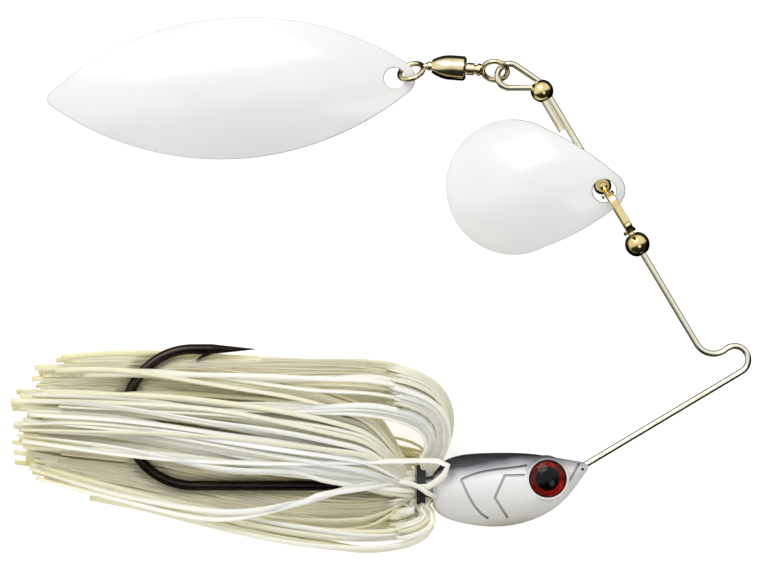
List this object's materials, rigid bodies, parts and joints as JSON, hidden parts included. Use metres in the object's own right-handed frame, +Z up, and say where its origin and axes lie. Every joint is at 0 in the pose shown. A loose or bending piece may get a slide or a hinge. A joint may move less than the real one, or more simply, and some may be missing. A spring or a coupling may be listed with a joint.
{
  "type": "spinnerbait",
  "caption": "Skirted lead-head lure on a bent wire arm, with a teardrop blade on a spinning clevis and a long leaf blade on a ball-bearing swivel.",
  "frame": {"origin": "middle of the whole lure's plan, on the surface it lies on", "axes": "+X from the skirt tips towards the line tie, +Y from the hook side towards the blades, +Z up from the surface, square to the wire's plane"},
  "size_m": [0.1206, 0.0868, 0.015],
  "materials": {
    "arm_wire": "polished",
    "head_paint": "gloss",
    "black_nickel": "polished",
    "eye_foil": "gloss",
    "eye_resin": "polished",
    "band_rubber": "matte",
    "skirt_silicone": "satin",
    "gold_plate": "polished",
    "swivel_plate": "polished",
    "ball_steel": "polished",
    "blade_paint": "gloss"
  },
  "bodies": {
    "root": {"wire_form": "arm_wire", "lead_head": "head_paint", "hook": "black_nickel", "eye_foil_upper": "eye_foil", "eye_foil_lower": "eye_foil", "eye_lens_upper": "eye_resin", "eye_lens_lower": "eye_resin", "skirt_band": "band_rubber", "skirt_bundle": "skirt_silicone", "skirt_above": "skirt_silicone", "skirt_below": "skirt_silicone", "stop_bead": "gold_plate", "upper_bead": "gold_plate", "loop_bead": "gold_plate"},
    "clevis": {"clevis": "gold_plate"},
    "colorado_blade": {"colorado_blade": "blade_paint"},
    "swivel_front_eye": {"swivel_front_eye": "swivel_plate"},
    "swivel_barrel": {"swivel_barrel": "swivel_plate", "swivel_end_cap": "swivel_plate", "swivel_bearing_balls": "ball_steel", "swivel_thrust_washer": "ball_steel"},
    "swivel_rear_eye": {"swivel_rear_eye": "swivel_plate"},
    "willow_blade": {"willow_blade": "blade_paint"}
  },
  "joints": [
    {"name": "clevis_spin", "type": "hinge", "parent": "root", "child": "clevis", "pos_m": [0.03714, 0.01461, 0.005], "axis": [-0.512, 0.859, 0], "continuous": true},
    {"name": "colorado_flap", "type": "hinge", "parent": "clevis", "child": "colorado_blade", "pos_m": [0.03857, 0.01514, 0.00724], "axis": [0.0271, 0.9973, 0.0686], "range_deg": [0, 30]},
    {"name": "swivel_swing", "type": "hinge", "parent": "root", "child": "swivel_front_eye", "pos_m": [0.02129, 0.03376, 0.005], "axis": [0, 0, 1], "range_deg": [-60, 30]},
    {"name": "barrel_spin", "type": "hinge", "parent": "swivel_front_eye", "child": "swivel_barrel", "pos_m": [0.01895, 0.03456, 0.0053], "axis": [-0.9945, 0.0783, -0.0698], "continuous": true},
    {"name": "rear_eye_spin", "type": "hinge", "parent": "swivel_barrel", "child": "swivel_rear_eye", "pos_m": [0.01895, 0.03456, 0.0053], "axis": [-0.9945, 0.0783, -0.0698], "continuous": true},
    {"name": "willow_swing", "type": "hinge", "parent": "swivel_rear_eye", "child": "willow_blade", "pos_m": [0.00548, 0.03452, 0.00434], "axis": [-0.3126, 0.7361, 0.6003], "range_deg": [-80, 80]}
  ]
}
